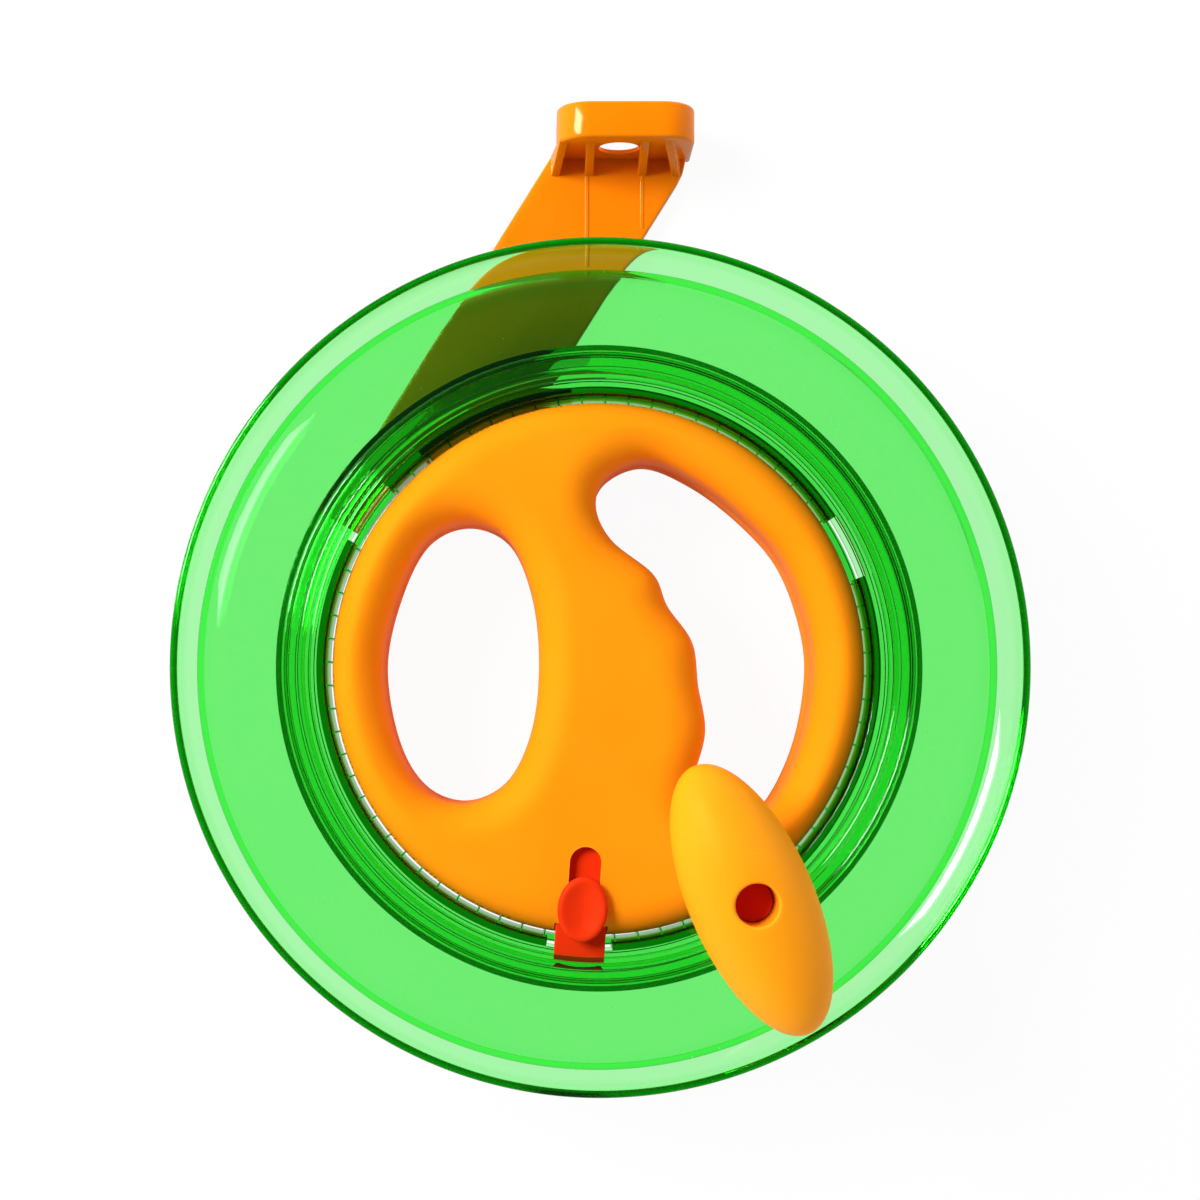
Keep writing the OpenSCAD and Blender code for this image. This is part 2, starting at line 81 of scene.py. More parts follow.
def make_mould_grain():
    """Fine grain that the mould leaves, and the slow drift of the dye."""
    defaults = {"Grain Scale": 2600.0, "Drift Scale": 28.0}
    group, given, out = effect_group("mould_grain", defaults, ["Grain", "Drift"])
    where = add_node(group, "ShaderNodeTexCoord").outputs["Object"]
    for title, detail, rough in (("Grain", 3.0, 0.6), ("Drift", 2.0, 0.5)):
        scale = given.outputs[title + " Scale"]
        inputs = {"Vector": where, "Scale": scale, "Detail": detail, "Roughness": rough}
        noise = add_node(group, "ShaderNodeTexNoise", inputs)
        group.links.new(noise.outputs["Fac"], out.inputs[title])
    return group


def make_edge_rub():
    """Patchy wear along the sharp edges."""
    gain = 6.0
    group, given, out = effect_group("edge_rub", {"Width": 0.0008, "Breakup Scale": 350.0}, ["Rub"])
    rounded = add_node(group, "ShaderNodeBevel", {"Radius": given.outputs["Width"]}, samples=4)
    true = add_node(group, "ShaderNodeNewGeometry").outputs["Normal"]
    normals = {0: rounded.outputs["Normal"], 1: true}
    facing = add_node(group, "ShaderNodeVectorMath", normals, operation="DOT_PRODUCT")
    edge = math_node(group, "SUBTRACT", 1.0, facing.outputs["Value"], clamp=True)
    where = add_node(group, "ShaderNodeTexCoord").outputs["Object"]
    inputs = {"Vector": where, "Scale": given.outputs["Breakup Scale"]}
    patchy = add_node(group, "ShaderNodeTexNoise", inputs)
    strong = math_node(group, "MULTIPLY", edge, gain)
    rub = math_node(group, "MULTIPLY", strong, patchy.outputs["Fac"], clamp=True)
    group.links.new(rub, out.inputs["Rub"])
    return group


def make_scuffs():
    """Fine scratches in three directions, kept to some patches, and the smudges of handling."""
    thinness = 120.0
    patch_start, patch_gain = 0.52, 6.0
    defaults = {"Scratch Scale": 90.0, "Smudge Scale": 55.0}
    group, given, out = effect_group("scuffs", defaults, ["Scratch", "Smudge"])
    where = add_node(group, "ShaderNodeTexCoord").outputs["Object"]
    total = None
    for turn, stretch in ((0.5, 14.0), (1.9, 20.0), (2.8, 17.0)):
        turned = add_node(group, "ShaderNodeMapping", {"Vector": where, "Rotation": (0.3, 0.2, turn),
                                                       "Scale": (1.0, stretch, 4.0)})
        inputs = {"Vector": turned.outputs["Vector"], "Scale": given.outputs["Scratch Scale"], "Detail": 1.0}
        lines = add_node(group, "ShaderNodeTexNoise", inputs)
        near = math_node(group, "ABSOLUTE", math_node(group, "SUBTRACT", lines.outputs["Fac"], 0.5))
        thin = math_node(group, "SUBTRACT", 1.0, math_node(group, "MULTIPLY", near, thinness), clamp=True)
        total = thin if total is None else math_node(group, "MAXIMUM", total, thin)
    inputs = {"Vector": where, "Scale": given.outputs["Smudge Scale"], "Detail": 4.0, "Roughness": 0.6}
    patch = add_node(group, "ShaderNodeTexNoise", inputs)
    above = math_node(group, "SUBTRACT", patch.outputs["Fac"], patch_start)
    here = math_node(group, "MULTIPLY", above, patch_gain, clamp=True)
    group.links.new(math_node(group, "MULTIPLY", total, here), out.inputs["Scratch"])
    group.links.new(patch.outputs["Fac"], out.inputs["Smudge"])
    return group


mould_grain = make_mould_grain()
edge_rub = make_edge_rub()
scuffs = make_scuffs()


def new_material(name):
    material = bpy.data.materials.new(name)
    material.use_nodes = True
    tree = material.node_tree
    return material, tree, tree.nodes["Principled BSDF"]


def grain_bump(tree, skin, grain, strength, depth):
    inputs = {"Height": grain.outputs["Grain"], "Strength": strength, "Distance": depth}
    bump = add_node(tree, "ShaderNodeBump", inputs)
    tree.links.new(bump.outputs["Normal"], skin.inputs["Normal"])


def satin_plastic(name, colour, pale, deep, roughness, grain_depth, gloss, tint):
    """Dyed plastic with a drifting colour, paler rubs and scratches, uneven gloss and a moulded grain."""
    rub_share, scratch_share = 0.35, 0.18
    smoother, duller = 0.05, 0.07
    material, tree, skin = new_material(name)
    grain = add_node(tree, "ShaderNodeGroup", node_tree=mould_grain)
    rub = add_node(tree, "ShaderNodeGroup", node_tree=edge_rub)
    marks = add_node(tree, "ShaderNodeGroup", node_tree=scuffs)
    inputs = {"Value": grain.outputs["Drift"], "From Min": 0.3, "From Max": 0.7}
    drift = add_node(tree, "ShaderNodeMapRange", inputs)
    dyed = mix_colours(tree, drift.outputs["Result"], deep, colour)
    worn = math_node(tree, "MULTIPLY", rub.outputs["Rub"], rub_share)
    scratched = math_node(tree, "MULTIPLY", marks.outputs["Scratch"], scratch_share)
    marked = math_node(tree, "MAXIMUM", worn, scratched)
    tree.links.new(mix_colours(tree, marked, dyed, pale), skin.inputs["Base Color"])
    inputs = {"Value": marks.outputs["Smudge"], "From Min": 0.3, "From Max": 0.7,
              "To Min": roughness - smoother, "To Max": roughness + duller}
    sheen = add_node(tree, "ShaderNodeMapRange", inputs)
    tree.links.new(sheen.outputs["Result"], skin.inputs["Roughness"])
    grain_bump(tree, skin, grain, 0.35, grain_depth)
    skin.inputs["IOR"].default_value = 1.48
    skin.inputs["Specular IOR Level"].default_value = gloss
    skin.inputs["Specular Tint"].default_value = tint
    return material


orange_satin = satin_plastic("orange_satin", colour=(1.0, 0.295, 0.005, 1), deep=(0.97, 0.275, 0.004, 1),
                             pale=(1.0, 0.45, 0.06, 1), roughness=0.5, grain_depth=0.00006, gloss=0.1,
                             tint=(1.0, 0.55, 0.12, 1))

# sizes in millimetres, with levels counted from the flat back of the wheel
MM = 0.001
grip_r = 69.9
journal_r = 67.5
grip_top = 38.0
part_z = 16.8
lip_z = 29.4
front_rim_round = 8.4
front_hole_round = 10.0
rear_round = 8.0
parting_groove = 0.22
palm_points = [[-15.6, 2], [-17.5, 20], [-23.5, 34], [-34.4, 38.8], [-45.5, 34], [-53, 19.5],
               [-56.9, 0.7], [-53.5, -19.5], [-46, -31.7], [-34.9, -35.5], [-24, -30], [-17.5, -16]]
finger_points = [[56.9, -1], [55, 13.5], [49, 28.5], [38.8, 40.1], [26, 49.8], [12.9, 55.1], [2.5, 51],
                 [-0.6, 43], [3.5, 34], [14.5, 25], [18.3, 16.5], [24.8, 7], [26.4, -4.5], [28.2, -17],
                 [24.6, -32], [27.5, -41], [36.5, -44.5], [46.5, -35.2], [53.8, -19.5]]

# spacing of the mesh: along the loops, over the roundings and over the flat of the face
loop_step = 1.1
round_rows = 10
rim_row_points = 300
field_step = 2.6
edge_zone = 2.0
edge_gap, flat_gap = 0.12, 0.75
on_edge = 0.0005


def smooth_loop(points, step):
    """A closed smooth curve through the points, cut into even steps."""
    b = np.array(points, float)
    a, c, d = np.roll(b, 1, 0), np.roll(b, -1, 0), np.roll(b, -2, 0)
    t = np.linspace(0, 1, 24, endpoint=False)[:, None, None]
    squared, cubed = 2 * a - 5 * b + 4 * c - d, 3 * b - a - 3 * c + d
    curve = (2 * b + (c - a) * t + squared * t ** 2 + cubed * t ** 3) / 2
    dense = curve.transpose(1, 0, 2).reshape(-1, 2)
    ring = np.vstack([dense, dense[:1]])
    run = np.r_[0, np.cumsum(np.linalg.norm(np.diff(ring, axis=0), axis=1))]
    at = np.arange(round(run[-1] / step)) * run[-1] / round(run[-1] / step)
    return np.stack([np.interp(at, run, ring[:, k]) for k in (0, 1)], 1)


def circle_loop(r, n=360, middle=(0, 0)):
    a = np.arange(n) * 2 * math.pi / n
    return np.stack([middle[0] + r * np.cos(a), middle[1] + r * np.sin(a)], 1)


def grown(loop, by):
    """The loop moved outwards, square to its own run."""
    along = np.roll(loop, -1, 0) - np.roll(loop, 1, 0)
    out = np.stack([along[:, 1], -along[:, 0]], 1)
    return loop + by * out / np.linalg.norm(out, axis=1, keepdims=True)


def distance_to(loop, points):
    a, ab = loop, np.roll(loop, -1, 0) - loop
    rel = points[:, None] - a[None]
    t = np.clip((rel * ab).sum(-1) / (ab * ab).sum(-1), 0, 1)
    return np.linalg.norm(rel - t[..., None] * ab, axis=-1).min(1)


def inside(loop, points):
    a, b = loop, np.roll(loop, -1, 0)
    x, y = points[:, None, 0], points[:, None, 1]
    crossing = (a[:, 1] > y) != (b[:, 1] > y)
    with np.errstate(divide="ignore", invalid="ignore"):
        at = a[:, 0] + (y - a[:, 1]) * (b[:, 0] - a[:, 0]) / (b[:, 1] - a[:, 1])
    return (crossing & (x < at)).sum(1) % 2 == 1


def sheet(outer, holes, extra):
    """Points and triangles that fill the outer loop, less the holes, through the extra points."""
    loops = [outer] + holes
    edges, start = [], 0
    for loop in loops:
        n = len(loop)
        edges += [(start + k, start + (k + 1) % n) for k in range(n)]
        start += n
    points = np.vstack(loops + ([extra] if len(extra) else []))
    found = delaunay_2d_cdt([Vector(p) for p in points], edges, [], 0, 1e-6)
    flat = np.array([v[:] for v in found[0]])
    faces = np.array(found[2])
    middle = flat[faces].mean(1)
    keep = inside(outer, middle)
    for hole in holes:
        keep &= ~inside(hole, middle)
    return flat, faces[keep].tolist()


def spread(candidates, loops, gap):
    """Those candidates that stay a gap clear of the loops and of one another."""
    kept, cells = [], {}
    clear = np.min([distance_to(loop, candidates) for loop in loops], axis=0) > gap
    around = [(i, j) for i in (-1, 0, 1) for j in (-1, 0, 1)]
    for p in candidates[clear]:
        cell = (int(p[0] // gap), int(p[1] // gap))
        near = [q for i, j in around for q in cells.get((cell[0] + i, cell[1] + j), ())]
        if all((p[0] - q[0]) ** 2 + (p[1] - q[1]) ** 2 > gap ** 2 for q in near):
            kept.append(p)
            cells.setdefault(cell, []).append(p)
    return np.array(kept)


def rounded_drop(distance, r):
    """Depth of a rounded edge of radius r at a distance inwards from it."""
    distance = np.where(distance < on_edge, 0, distance)
    inward = np.clip(r - distance, 0, r)
    return r - np.sqrt(r * r - inward * inward)


palm_loop = smooth_loop(palm_points, loop_step)
finger_loop = smooth_loop(finger_points, loop_step)
rim_loop = circle_loop(grip_r)


def wheel_face(rim_round, hole_round):
    """The rounded face of one half as points, their depth below the flat top, and triangles."""
    turns = [math.pi / 2 * k / round_rows for k in range(1, round_rows + 1)]
    rows = [circle_loop(grip_r - rim_round * (1 - math.cos(a)), rim_row_points) for a in turns]
    for loop in (palm_loop, finger_loop):
        rows += [grown(loop, hole_round * (1 - math.cos(a))) for a in turns]
    side = np.arange(-grip_r, grip_r, field_step)
    field = np.stack(np.meshgrid(side, side), -1).reshape(-1, 2)
    candidates = np.vstack(rows + [field])
    candidates = candidates[inside(rim_loop, candidates)]
    for loop in (palm_loop, finger_loop):
        candidates = candidates[~inside(loop, candidates)]
    loops = [rim_loop, palm_loop, finger_loop]
    extra = spread(candidates, loops, edge_gap)
    away = np.min([distance_to(loop, extra) for loop in loops], axis=0) > edge_zone
    extra = np.vstack([extra[~away], spread(extra[away], [rim_loop], flat_gap)])
    flat, faces = sheet(rim_loop, [palm_loop, finger_loop], extra)
    to_hole = np.minimum(distance_to(palm_loop, flat), distance_to(finger_loop, flat))
    from_rim = rounded_drop(grip_r - np.linalg.norm(flat, axis=1), rim_round)
    from_hole = rounded_drop(to_hole, hole_round)
    return flat, np.hypot(from_rim, from_hole), faces


def level(loop, z):
    return [(x, y, z) for x, y in loop]


def band(verts, faces, rows):
    """Quads between one closed row of points and the next, each of the same length."""
    n = len(rows[0])
    for row in rows[:-1]:
        start = len(verts)
        verts += row
        for k in range(n):
            after = (k + 1) % n
            faces.append((start + k, start + after, start + n + after, start + n + k))
    verts += rows[-1]


def soften(piece, sharp):
    piece.data.shade_smooth()
    piece.data.set_sharp_from_angle(angle=math.radians(sharp))


def link_piece(name, bm, sharp):
    """An object from a finished bmesh, smooth but for the edges sharper than the angle given."""
    mesh = bpy.data.meshes.new(name)
    bm.to_mesh(mesh)
    bm.free()
    piece = bpy.data.objects.new(name, mesh)
    bpy.context.scene.collection.objects.link(piece)
    soften(piece, sharp)
    return piece


def new_piece(name, verts, faces, sharp=32, weld=0.004):
    """A piece from points in millimetres, welded and turned outwards."""
    bm = bmesh.new()
    made = [bm.verts.new(Vector(v) * MM) for v in verts]
    for face in faces:
        bm.faces.new([made[k] for k in face])
    bmesh.ops.remove_doubles(bm, verts=bm.verts, dist=weld * MM)
    bmesh.ops.recalc_face_normals(bm, faces=bm.faces)
    return link_piece(name, bm, sharp)


def merge(piece, others, operation, sharp=32):
    """Cuts the other pieces from a piece, or joins them to it, and removes them."""
    tiny = 0.0001
    for other in others:
        step = piece.modifiers.new("merge", "BOOLEAN")
        step.operation = operation
        step.solver = "EXACT"
        step.object = other
        bpy.context.view_layer.update()
        result = piece.evaluated_get(bpy.context.evaluated_depsgraph_get())
        made = bpy.data.meshes.new_from_object(result)
        piece.modifiers.clear()
        before = piece.data
        piece.data = made
        bpy.data.meshes.remove(before)
        made.name = piece.name
        bpy.data.objects.remove(other)
    bm = bmesh.new()
    bm.from_mesh(piece.data)
    bmesh.ops.dissolve_degenerate(bm, edges=bm.edges, dist=tiny * MM)
    bm.to_mesh(piece.data)
    bm.free()
    soften(piece, sharp)


def plate(name, outline, low, high, edge=0.0, place=Matrix()):
    """A plate with the given outline, in millimetres, with its corners rounded by edge."""
    corner = math.radians(25)
    bm = bmesh.new()
    n = len(outline)
    lower = [bm.verts.new((x, y, low)) for x, y in outline]
    upper = [bm.verts.new((x, y, high)) for x, y in outline]
    bm.faces.new(lower[::-1])
    bm.faces.new(upper)
    for k in range(n):
        bm.faces.new((lower[k], lower[(k + 1) % n], upper[(k + 1) % n], upper[k]))
    bmesh.ops.recalc_face_normals(bm, faces=bm.faces)
    if edge:
        corners = [e for e in bm.edges if e.calc_face_angle() > corner]
        bmesh.ops.bevel(bm, geom=corners, offset=edge, segments=3, profile=0.5, affect="EDGES",
                        clamp_overlap=True)
    bmesh.ops.transform(bm, matrix=Matrix.Scale(MM, 4) @ place, verts=bm.verts)
    bmesh.ops.recalc_face_normals(bm, faces=bm.faces)
    return link_piece(name, bm, 32)


def settle(piece, material, body, node):
    """Gives a piece its finish and its body, and hides the CAD node that it stands for."""
    piece.data.materials.clear()
    piece.data.materials.append(material)
    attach(piece, body)
    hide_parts(node)


def wheel_half(name, top, down, rim_round, hole_round, lip_rows):
    """One half: its rounded face, its rim in the rows given, the walls of its holes and its parting face."""
    flat, drop, faces = wheel_face(rim_round, hole_round)
    verts = [(x, y, top + down * d) for (x, y), d in zip(flat, drop)]
    last = rim_loop
    rows = [level(rim_loop, top + down * rim_round)]
    for r, z in lip_rows:
        last = circle_loop(r)
        rows.append(level(last, z))
    band(verts, faces, rows)
    mouths = []
    for loop in (palm_loop, finger_loop):
        mouth = grown(loop, parting_groove)
        mouths.append(mouth)
        wall_start = top + down * hole_round
        wall_end = part_z - down * 2 * parting_groove
        band(verts, faces, [level(loop, wall_start), level(loop, wall_end), level(mouth, part_z)])
    parting, cover = sheet(last, mouths, np.empty((0, 2)))
    start = len(verts)
    verts += level(parting, part_z)
    faces += [[start + k for k in face] for face in cover]
    return new_piece(name, verts, faces)


grip_front = wheel_half("grip_front_half", grip_top, -1, front_rim_round, front_hole_round,
                        [(grip_r, lip_z), (journal_r, lip_z), (journal_r, part_z)])
grip_rear = wheel_half("grip_rear_half", 0, 1, rear_round, rear_round, [(grip_r, part_z)])

# the front half is cut out for the lock's slide, its slot, its tooth and the plate that holds it
lock_angle = 266
lock_turn = Matrix.Rotation(math.radians(lock_angle), 4, "Z")
past_rim, past_top = 72.0, 40.0
channel_in, channel_half = 28.1, 6.9
channel_low, channel_high = 32.0, 35.8
slot_in, slot_out, slot_half = 46.4, 66.6, 4.1
slot_low = 35.0
path_in, path_half = 56.1, 2.1
path_low, path_high = 25.8, 33.0
cover_in, cover_out, cover_half = 31.8, 56.4, 12.3
cover_low, cover_high = 29.0, 33.02


def bar_outline(x0, x1, half):
    return [(x0, -half), (x1, -half), (x1, half), (x0, half)]


def slot_outline(x0, x1, half, n=24):
    turn = np.linspace(-math.pi / 2, math.pi / 2, n)
    right = [(x1 - half + half * math.cos(a), half * math.sin(a)) for a in turn]
    return right + [(x0 + half - half * math.cos(a), -half * math.sin(a)) for a in turn]


lock_rooms = [
    ("slide_channel", bar_outline(channel_in, past_rim, channel_half), channel_low, channel_high),
    ("button_slot", slot_outline(slot_in, slot_out, slot_half), slot_low, past_top),
    ("tooth_path", bar_outline(path_in, past_rim, path_half), path_low, path_high),
    ("cover_room", bar_outline(cover_in, cover_out, cover_half), cover_low, cover_high)]
merge(grip_front, [plate(*room, place=lock_turn) for room in lock_rooms], "DIFFERENCE")

# the rear half is cut out for the arm's foot and for the sunk screw heads
past_back = -3
pocket_in, pocket_deep = 60.2, 4.02
pocket_from, pocket_to = 94, 130
head_room = 3.1
head_sink = 2.4
screw_ring = 63.2


def polar(r, degrees):
    a = math.radians(degrees)
    return r * math.cos(a), r * math.sin(a)


def arc(r, start, end):
    n = math.ceil(abs(end - start))
    return [polar(r, start + (end - start) * k / n) for k in range(n + 1)]


def screw_recess(spot):
    return plate("screw_recess", circle_loop(head_room, 40, spot), past_back, head_sink)


foot_pocket = arc(past_rim, pocket_from, pocket_to) + arc(pocket_in, pocket_to, pocket_from)
merge(grip_rear, [plate("foot_pocket", foot_pocket, past_back, pocket_deep)], "DIFFERENCE")
screw_spots = [polar(screw_ring, a) for a in (62, 172, 226, 300, 352)] + [(-8, 32), (6, -12)]
for spot in screw_spots:
    merge(grip_rear, [screw_recess(spot)], "DIFFERENCE")
settle(grip_front, orange_satin, "grip", "grip_front")
settle(grip_rear, orange_satin, "grip", "grip_rear")


# Screws
# Cross-head screws of zinc-plated steel: seven join the wheel's halves, three hold the arm's foot, two
# the lock's cover and one the knob's axle. They stay as the solids have them and get their plating here.
def zinc_plate():
    material, tree, skin = new_material("zinc_plate")
    scales = {"Grain Scale": 1800.0, "Drift Scale": 320.0}
    grain = add_node(tree, "ShaderNodeGroup", scales, node_tree=mould_grain)
    scales = {"Scratch Scale": 600.0, "Smudge Scale": 400.0}
    marks = add_node(tree, "ShaderNodeGroup", scales, node_tree=scuffs)
    blue_grey, warm_grey = (0.50, 0.51, 0.53, 1), (0.68, 0.68, 0.67, 1)
    tone = mix_colours(tree, grain.outputs["Drift"], blue_grey, warm_grey)
    tree.links.new(tone, skin.inputs["Base Color"])
    inputs = {"Value": marks.outputs["Smudge"], "To Min": 0.2, "To Max": 0.45}
    dull = add_node(tree, "ShaderNodeMapRange", inputs)
    tree.links.new(dull.outputs["Result"], skin.inputs["Roughness"])
    grain_bump(tree, skin, grain, 0.3, 0.00004)
    skin.inputs["Metallic"].default_value = 1.0
    return material


def dress(node, material):
    """Gives a solid that stays in view its finish."""
    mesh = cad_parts[node].data
    mesh.materials.clear()
    mesh.materials.append(material)


zinc = zinc_plate()
for screws in ("grip_screws", "arm_screws", "cover_screws", "knob_screw"):
    dress(screws, zinc)


# Guide arm
# One moulding in the same orange, with a glossier skin: a leaning strip whose foot is screwed into the
# wheel's rear half, and a shallow tray on four gussets with the round eye that the line runs through.
orange_gloss = satin_plastic("orange_gloss", colour=(1.0, 0.24, 0.002, 1), deep=(0.97, 0.22, 0.001, 1),
                             pale=(1.0, 0.42, 0.05, 1), roughness=0.11, grain_depth=0.00001, gloss=0.4,
                             tint=(1.0, 0.86, 0.6, 1))
arm_t = 4.0
arm_lean = math.radians(32)
arm_along = Vector((math.sin(arm_lean), math.cos(arm_lean)))
arm_right = Vector((21.16, 132.15))
arm_left = Vector((-7.16, 149.85))
arm_top_y = 142.25
arm_end_angle = 150
arm_foot_in, arm_foot_out = 60.5, 75.0
arm_foot_from, arm_foot_to = 95, 129
corner_y = 134.0
corner_points = [(24.1, 137.4), (24.7, 140.2)]
top_right_x = 24.8


def edge_at_height(p, y):
    return tuple(p + (y - p.y) / arm_along.y * arm_along)


def edge_at_ray(p, degrees):
    w = Vector(polar(1, degrees))
    return tuple(p - p.cross(w) / arm_along.cross(w) * arm_along)


def edge_at_circle(p, r):
    m = p.dot(arm_along)
    return p + (math.sqrt(m * m - p.dot(p) + r * r) - m) * arm_along


toe = edge_at_circle(arm_right, arm_foot_out)
toe_angle = math.degrees(math.atan2(toe.y, toe.x))
strip = [(top_right_x, arm_top_y), edge_at_height(arm_left, arm_top_y), edge_at_ray(arm_left, arm_end_angle)]
strip += arc(arm_foot_out, arm_end_angle, arm_foot_to) + arc(arm_foot_in, arm_foot_to, arm_foot_from)
strip += arc(arm_foot_out, arm_foot_from, toe_angle)
strip += [edge_at_height(arm_right, corner_y)] + corner_points
guide_arm = plate("guide_arm_moulding", strip, 0, arm_t, edge=0.45)

# the tray is drawn as seen along the line, with its open back on the table
tray_x, tray_y = 7.7, 141.0
tray_w, tray_h = 37.0, 9.7
tray_reach = 26.0
tray_wall = 2.5
tray_corner = 9.0
along_line = Matrix(((1, 0, 0, 0), (0, 0, 1, 0), (0, 1, 0, 0), (0, 0, 0, 1)))


def tray_outline(inset, back):
    half, deep, r = tray_w / 2 - inset, tray_reach - inset, tray_corner - inset
    turn = np.linspace(0, math.pi / 2, 16)
    right = [(half - r + r * math.cos(a), deep - r + r * math.sin(a)) for a in turn]
    left = [(-half + r - r * math.sin(a), deep - r + r * math.cos(a)) for a in turn]
    return [(tray_x + x, z) for x, z in [(half, back)] + right + left + [(-half, back)]]


tray = plate("tray", tray_outline(0, 0), tray_y, tray_y + tray_h, edge=0.9, place=along_line)
hollow = plate("tray_hollow", tray_outline(tray_wall, past_back), tray_y + tray_wall, tray_y + tray_h + 3,
               place=along_line)
merge(tray, [hollow], "DIFFERENCE")

# four gussets carry the tray, the outer two slanted, and two fine lines run down from them
gusset_t = 2.3
gusset_top = 21.5
gusset_outline = [(136.0, 3.0), (142.0, 3.0), (142.0, gusset_top), (141.0, gusset_top)]
gusset_spots = ((-9.0, 0.12), (-1.8, 0), (12.8, 0), (19.0, -0.18))
witness_low, witness_high = 3.5, 4.22
witness_half = 0.5
witness_end = 137.0
witness_spots = ((-2.4, 112.0), (12.8, 122.0))


def across_arm(slant=0.0):
    """Turns an outline of (along the line, level) upright, with its foot moved sideways by the slant."""
    return Matrix(((0, slant, 1, -slant * gusset_top), (1, 0, 0, 0), (0, 1, 0, 0), (0, 0, 0, 1)))


def witness_outline(start):
    low, high = witness_low, witness_high
    return [(start, low), (witness_end, low), (witness_end, high), (start, high)]


gussets = [plate("gusset", gusset_outline, x - gusset_t / 2, x + gusset_t / 2, edge=0.25,
                 place=across_arm(slant)) for x, slant in gusset_spots]
witness = [plate("witness_line", witness_outline(y), x - witness_half, x + witness_half, edge=0.15,
                 place=across_arm()) for x, y in witness_spots]
merge(guide_arm, [tray] + gussets + witness, "UNION")

# the eye goes through the tray's floor, which is thinner round it, and the foot takes three sunk screws
eye_x, eye_z, eye_r = 6.0, 15.0, 5.5
eye_outline = [(eye_x + x, eye_z + z) for x, z in circle_loop(eye_r, 64)]
eye = plate("line_eye", eye_outline, tray_y - 3, tray_y + tray_wall + 2, place=along_line)
run_r = eye_r + 2.5
run_floor = 1.0
half_turn = np.linspace(0, math.pi, 32)
run_outline = [(eye_x + run_r * math.cos(a), eye_z + run_r * math.sin(a)) for a in half_turn]
run_outline += [(eye_x - run_r, past_back), (eye_x + run_r, past_back)]
line_run = plate("line_run", run_outline, tray_y + run_floor, tray_y + tray_wall + 0.5, place=along_line)
foot_screw_ring = 64.4
recesses = [screw_recess(polar(foot_screw_ring, a)) for a in (99.5, 112, 124.5)]
merge(guide_arm, [eye, line_run] + recesses, "DIFFERENCE")
settle(guide_arm, orange_gloss, "grip", "guide_arm")


# Lock
# A red moulded slide with a tooth that drops between the spool's ribs, and an oval dished button
# pressed on top of it through the slot. An orange cover plate holds the slide in its channel.
red_satin = satin_plastic("red_satin", colour=(0.78, 0.036, 0.004, 1), deep=(0.72, 0.027, 0.003, 1),
                          pale=(0.9, 0.16, 0.08, 1), roughness=0.36, grain_depth=0.00003, gloss=0.12,
                          tint=(1.0, 0.4, 0.2, 1))
slide_in, slide_out = 40.4, 77.6
slide_low, slide_high = 33.3, 35.5
slide_half = 6.6
slide_corner = 1.2
tooth_in, tooth_out = 68.6, 71.2
tooth_low, tooth_high = 26.1, 34.4
tooth_half = 1.8
button_at = 62.5
button_low, button_high = 38.3, 41.0
button_l, button_w = 16.8, 13.0
button_steps = 96
under_round, top_round = 0.5, 1.1
neck_r = 3.8
press_gap = 0.02
dish_lip, dish_depth = 0.25, 1.0
dish_shares = (1.0, 0.94, 0.86, 0.76, 0.64, 0.5, 0.35, 0.2, 0.08)


def round_corners(x0, x1, half, r, n=6):
    turn = np.linspace(0, math.pi / 2, n)
    middles = ((x1 - r, -half + r, -90), (x1 - r, half - r, 0),
               (x0 + r, half - r, 90), (x0 + r, -half + r, 180))
    return [(x + r * math.cos(a + math.radians(s)), y + r * math.sin(a + math.radians(s)))
            for x, y, s in middles for a in turn]


def button_ring(inset, z):
    turn = np.arange(button_steps) * 2 * math.pi / button_steps
    long, wide = max(0.4, button_l / 2 - inset), max(0.3, button_w / 2 - inset)
    return [(button_at + long * math.cos(a), wide * math.sin(a), z) for a in turn]


def lock_button_mesh():
    """The button in rows from its neck up: flat underside, rounded edge, and the dish in its top."""
    neck = [(button_at + neck_r * x, neck_r * y) for x, y in circle_loop(1, button_steps)]
    rows = [level(neck, slide_high + press_gap), level(neck, button_low)]
    rows.append(button_ring(under_round, button_low))
    rows += [button_ring(under_round * (1 - math.sin(a)), button_low + under_round * (1 - math.cos(a)))
             for a in np.linspace(0, math.pi / 2, 5)[1:]]
    rows += [button_ring(top_round * (1 - math.cos(a)), button_high - top_round * (1 - math.sin(a)))
             for a in np.linspace(0, math.pi / 2, 9)]
    lip = button_w / 2 - top_round - dish_lip
    for share in dish_shares:
        down = dish_depth * (1 - share ** 2) ** 1.3
        rows.append(button_ring(button_w / 2 - lip * share, button_high - down))
    verts, faces = [], []
    band(verts, faces, rows)
    n = button_steps
    faces += [list(range(n)), list(range(len(verts) - n, len(verts)))]
    turned = [tuple(lock_turn @ Vector(v)) for v in verts]
    return new_piece("lock_button_cap", turned, faces)


lock_slide = plate("lock_slide_tongue", round_corners(slide_in, slide_out, slide_half, slide_corner),
                   slide_low, slide_high, edge=0.3, place=lock_turn)
lock_tooth = plate("lock_tooth", bar_outline(tooth_in, tooth_out, tooth_half), tooth_low, tooth_high,
                   edge=0.25, place=lock_turn)
merge(lock_slide, [lock_tooth], "UNION")
lock_button = lock_button_mesh()
settle(lock_slide, red_satin, "lock", "lock_slide")
settle(lock_button, red_satin, "lock", "lock_button")
dress("lock_cover", orange_satin)


